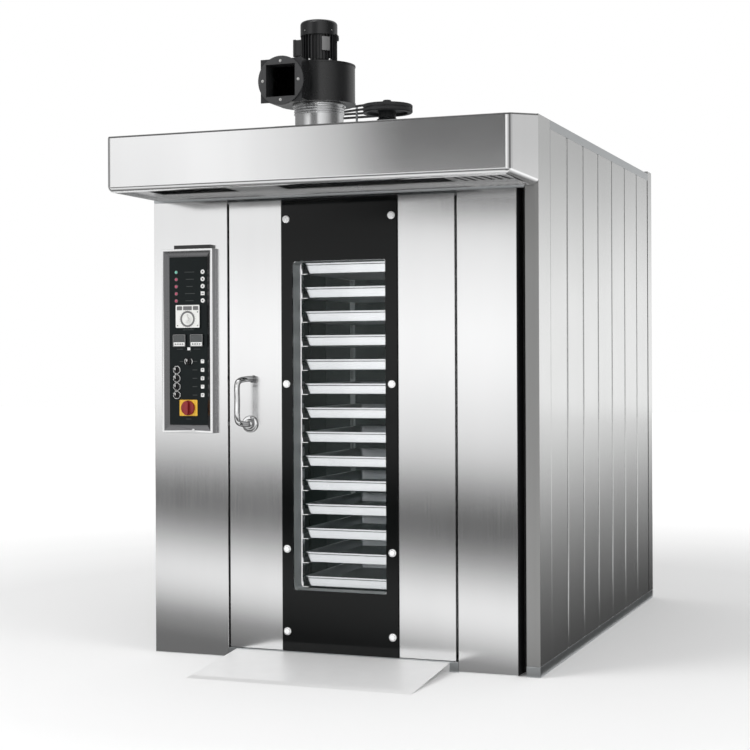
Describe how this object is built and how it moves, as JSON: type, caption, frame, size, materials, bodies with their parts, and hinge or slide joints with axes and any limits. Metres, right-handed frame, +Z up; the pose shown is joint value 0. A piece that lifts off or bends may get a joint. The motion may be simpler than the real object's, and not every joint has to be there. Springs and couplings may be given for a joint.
{
  "type": "rotating rack oven",
  "caption": "Electric rotating rack oven: glass-strip door, tray rack turned from the roof, steam hood with blower, control box and loading ramp.",
  "frame": {"origin": "on the floor under the middle of the cabinet", "axes": "+Z up, -Y out of the door, +X to the right of someone facing the door"},
  "size_m": [1.69, 2.7303, 2.5876],
  "materials": {
    "front_steel": "vertically brushed stainless steel sheet",
    "panel_steel": "satin stainless steel sheet",
    "polished_steel": "polished stainless steel",
    "tray_steel": "plain aluminised tray sheet",
    "galvanised_steel": "zinc-plated steel",
    "black_paint": "satin black paint",
    "heater_steel": "heat-tinted steel",
    "dark_glass": "smoked tempered glass",
    "black_plastic": "moulded black plastic",
    "red_plastic": "dark red moulded plastic",
    "white_plastic": "white moulded plastic",
    "seal_rubber": "heat-resisting rubber",
    "castor_rubber": "heat-resisting moulded wheel"
  },
  "bodies": {
    "cabinet": {"base_floor": "panel_steel", "left_side_wall": "panel_steel", "right_side_wall": "panel_steel", "back_wall": "panel_steel", "roof": "panel_steel", "left_front_column": "front_steel", "right_front_column": "front_steel", "hood": "front_steel", "hood_grille": "front_steel", "left_air_baffle": "front_steel", "right_air_baffle": "front_steel", "bulkhead": "panel_steel", "heater_bank": "heater_steel", "circulation_motor": "black_paint", "ramp": "galvanised_steel", "control_housing": "front_steel", "control_fascia": "black_plastic", "exhaust_volute": "black_paint", "exhaust_motor": "black_paint", "spindle_bearing": "black_paint", "rack_gearmotor": "black_paint", "drive_belt": "seal_rubber"},
    "door": {"door_leaf": "front_steel", "door_glass": "dark_glass", "door_inner_glass": "dark_glass", "door_gasket": "seal_rubber"},
    "handle": {"door_handle": "polished_steel"},
    "rack": {"rack_pulley": "black_paint", "rack_spindle": "galvanised_steel", "rack_frame": "polished_steel", "tray_1": "tray_steel", "tray_2": "tray_steel", "tray_3": "tray_steel", "tray_4": "tray_steel", "tray_5": "tray_steel", "tray_6": "tray_steel", "tray_7": "tray_steel", "tray_8": "tray_steel", "tray_9": "tray_steel", "tray_10": "tray_steel", "tray_11": "tray_steel", "tray_12": "tray_steel", "tray_13": "tray_steel", "tray_14": "tray_steel"},
    "front_left_castor": {"front_left_castor_fork": "galvanised_steel"},
    "front_right_castor": {"front_right_castor_fork": "galvanised_steel"},
    "front_left_wheel": {"front_left_castor_wheel": "castor_rubber"},
    "front_right_wheel": {"front_right_castor_wheel": "castor_rubber"},
    "rear_left_wheel": {"rear_left_castor_wheel": "castor_rubber"},
    "rear_right_wheel": {"rear_right_castor_wheel": "castor_rubber"},
    "gearmotor_output": {"gearmotor_pulley": "black_paint"},
    "exhaust_fan": {"exhaust_impeller": "galvanised_steel"},
    "circulation_fan": {"circulation_impeller": "galvanised_steel"},
    "main_switch": {"main_switch_knob": "red_plastic"},
    "timer": {"timer_dial": "white_plastic"},
    "selector_1": {"selector_knob_1": "black_plastic"},
    "selector_2": {"selector_knob_2": "black_plastic"},
    "selector_3": {"selector_knob_3": "black_plastic"},
    "selector_4": {"selector_knob_4": "black_plastic"},
    "upper_selector": {"upper_selector_knob": "black_plastic"}
  },
  "joints": [
    {"name": "door_hinge", "type": "hinge", "parent": "cabinet", "child": "door", "pos_m": [0.47, -1.112, 0.975], "axis": [0, 0, 1], "range_deg": [0, 110]},
    {"name": "handle_turn", "type": "hinge", "parent": "door", "child": "handle", "pos_m": [-0.396, -1.135, 0.978], "axis": [0, -1, 0], "range_deg": [0, 45]},
    {"name": "rack_spin", "type": "hinge", "parent": "cabinet", "child": "rack", "pos_m": [0.005, -0.56, 1], "axis": [0, 0, 1], "continuous": true},
    {"name": "front_left_swivel", "type": "hinge", "parent": "rack", "child": "front_left_castor", "pos_m": [-0.23, -0.83, 0.14], "axis": [0, 0, 1], "continuous": true},
    {"name": "front_right_swivel", "type": "hinge", "parent": "rack", "child": "front_right_castor", "pos_m": [0.24, -0.83, 0.14], "axis": [0, 0, 1], "continuous": true},
    {"name": "front_left_roll", "type": "hinge", "parent": "front_left_castor", "child": "front_left_wheel", "pos_m": [-0.23, -0.805, 0.0945], "axis": [1, 0, 0], "continuous": true},
    {"name": "front_right_roll", "type": "hinge", "parent": "front_right_castor", "child": "front_right_wheel", "pos_m": [0.24, -0.805, 0.0945], "axis": [1, 0, 0], "continuous": true},
    {"name": "rear_left_roll", "type": "hinge", "parent": "rack", "child": "rear_left_wheel", "pos_m": [-0.23, -0.29, 0.0945], "axis": [1, 0, 0], "continuous": true},
    {"name": "rear_right_roll", "type": "hinge", "parent": "rack", "child": "rear_right_wheel", "pos_m": [0.24, -0.29, 0.0945], "axis": [1, 0, 0], "continuous": true},
    {"name": "gearmotor_output_spin", "type": "hinge", "parent": "cabinet", "child": "gearmotor_output", "pos_m": [-0.34, -0.498, 2.33], "axis": [0, 0, 1], "continuous": true},
    {"name": "exhaust_fan_spin", "type": "hinge", "parent": "cabinet", "child": "exhaust_fan", "pos_m": [0.005, -1.335, 2.35], "axis": [0, 0, 1], "continuous": true},
    {"name": "circulation_fan_spin", "type": "hinge", "parent": "cabinet", "child": "circulation_fan", "pos_m": [0.005, 0.555, 1.8], "axis": [0, 0, 1], "continuous": true},
    {"name": "main_switch_turn", "type": "hinge", "parent": "cabinet", "child": "main_switch", "pos_m": [-0.675, -1.1533, 1.044], "axis": [0, 1, 0], "range_deg": [0, 90]},
    {"name": "timer_turn", "type": "hinge", "parent": "cabinet", "child": "timer", "pos_m": [-0.675, -1.1573, 1.418], "axis": [0, 1, 0], "range_deg": [0, 300]},
    {"name": "selector_1_turn", "type": "hinge", "parent": "cabinet", "child": "selector_1", "pos_m": [-0.731, -1.1513, 1.204], "axis": [0, 1, 0], "range_deg": [0, 90]},
    {"name": "selector_2_turn", "type": "hinge", "parent": "cabinet", "child": "selector_2", "pos_m": [-0.731, -1.1513, 1.1687], "axis": [0, 1, 0], "range_deg": [0, 90]},
    {"name": "selector_3_turn", "type": "hinge", "parent": "cabinet", "child": "selector_3", "pos_m": [-0.731, -1.1513, 1.1334], "axis": [0, 1, 0], "range_deg": [0, 90]},
    {"name": "selector_4_turn", "type": "hinge", "parent": "cabinet", "child": "selector_4", "pos_m": [-0.731, -1.1513, 1.0981], "axis": [0, 1, 0], "range_deg": [0, 90]},
    {"name": "upper_selector_turn", "type": "hinge", "parent": "cabinet", "child": "upper_selector", "pos_m": [-0.675, -1.1513, 1.24], "axis": [0, 1, 0], "range_deg": [0, 90]}
  ],
  "couplings": [
    {"joint": "gearmotor_output_spin", "follows": "rack_spin", "ratio": 2}
  ]
}
